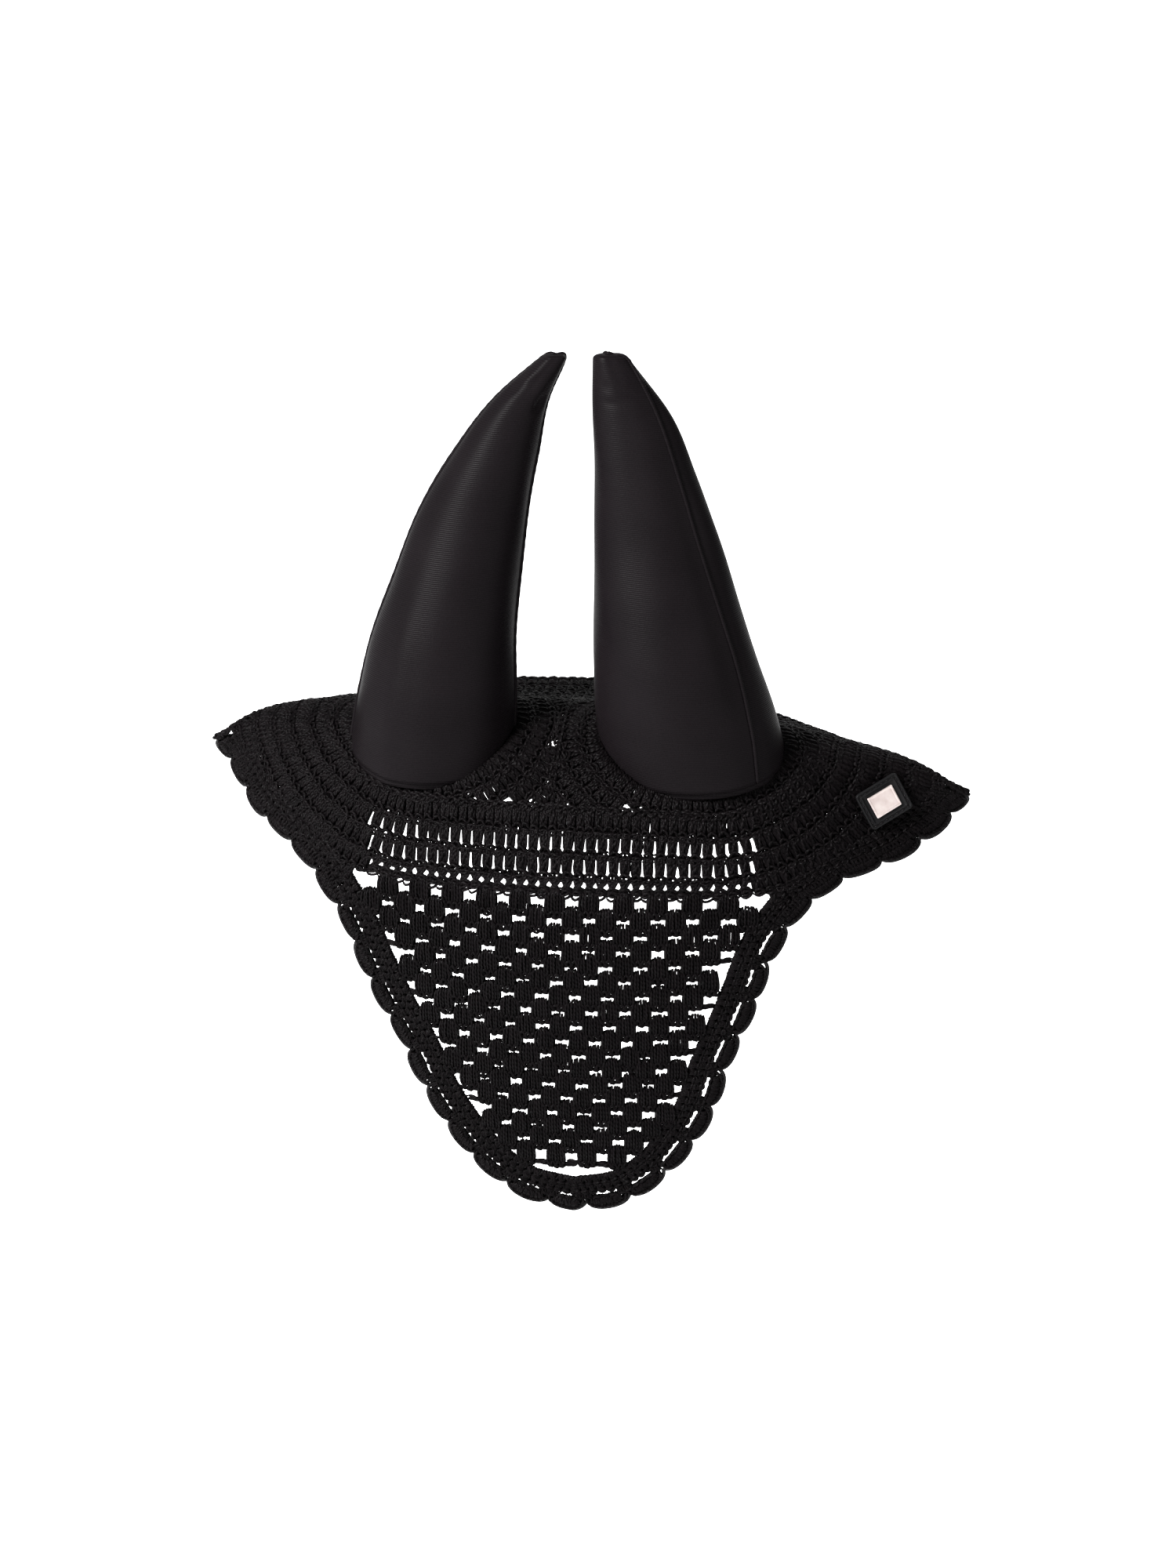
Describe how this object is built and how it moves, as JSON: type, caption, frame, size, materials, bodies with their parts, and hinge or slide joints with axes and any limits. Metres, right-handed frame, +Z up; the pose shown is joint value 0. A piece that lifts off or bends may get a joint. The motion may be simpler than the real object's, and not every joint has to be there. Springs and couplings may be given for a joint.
{
  "type": "crochet fly veil",
  "caption": "Crochet fly veil for a horse: a shaped headpiece with stretch ear covers, side wings, a lifting open-work forehead fringe with scalloped edges, and a small badge.",
  "frame": {"origin": "underside of the crown at the horse's poll, midway across the head", "axes": "+Z up, -Y the way the horse looks, +X towards the viewer's right when the fringe is seen from the front"},
  "size_m": [0.4033, 0.1647, 0.4569],
  "materials": {
    "cotton_yarn": "black twisted cotton yarn, crocheted",
    "edge_cord": "smooth black cord",
    "stretch_satin": "black stretch satin, soft sheen",
    "satin_binding": "black bound seam in the same satin",
    "moulded_rubber": "matte moulded black rubber",
    "brushed_plate": "brushed metal, warm silver",
    "sewing_thread": "black sewing thread"
  },
  "bodies": {
    "headpiece": {"badge_patch": "moulded_rubber", "badge_plate": "brushed_plate", "badge_stitching": "sewing_thread", "brow_band": "cotton_yarn", "crown": "cotton_yarn", "left_ear_collar": "cotton_yarn", "left_wing": "cotton_yarn", "left_wing_border": "cotton_yarn", "left_wing_cord": "edge_cord", "nape_edging": "cotton_yarn", "nape_panel": "cotton_yarn", "right_ear_collar": "cotton_yarn", "right_wing": "cotton_yarn", "right_wing_border": "cotton_yarn", "right_wing_cord": "edge_cord"},
    "fringe": {"fringe_border": "cotton_yarn", "fringe_cord": "edge_cord", "fringe_edging": "cotton_yarn", "fringe_mesh": "cotton_yarn"},
    "left_ear_base": {"left_ear_hem": "satin_binding"},
    "left_ear": {"left_ear_back_panel": "stretch_satin", "left_ear_front_panel": "stretch_satin", "left_ear_seam_binding": "satin_binding"},
    "right_ear_base": {"right_ear_hem": "satin_binding"},
    "right_ear": {"right_ear_back_panel": "stretch_satin", "right_ear_front_panel": "stretch_satin", "right_ear_seam_binding": "satin_binding"}
  },
  "joints": [
    {"name": "fringe_lift", "type": "hinge", "parent": "headpiece", "child": "fringe", "pos_m": [0, -0.07853, -0.08085], "axis": [-1, 0, 0], "range_deg": [0, 70]},
    {"name": "left_ear_tilt", "type": "hinge", "parent": "headpiece", "child": "left_ear_base", "pos_m": [-0.072, -0.0291, 0.01872], "axis": [1, 0, 0], "range_deg": [-35, 15]},
    {"name": "left_ear_swivel", "type": "hinge", "parent": "left_ear_base", "child": "left_ear", "pos_m": [-0.072, -0.0291, 0.01872], "axis": [0, -0.2756, 0.9613], "range_deg": [-30, 30]},
    {"name": "right_ear_tilt", "type": "hinge", "parent": "headpiece", "child": "right_ear_base", "pos_m": [0.064, -0.0291, 0.01872], "axis": [1, 0, 0], "range_deg": [-35, 15]},
    {"name": "right_ear_swivel", "type": "hinge", "parent": "right_ear_base", "child": "right_ear", "pos_m": [0.064, -0.0291, 0.01872], "axis": [0, -0.2756, 0.9613], "range_deg": [-30, 30]}
  ]
}
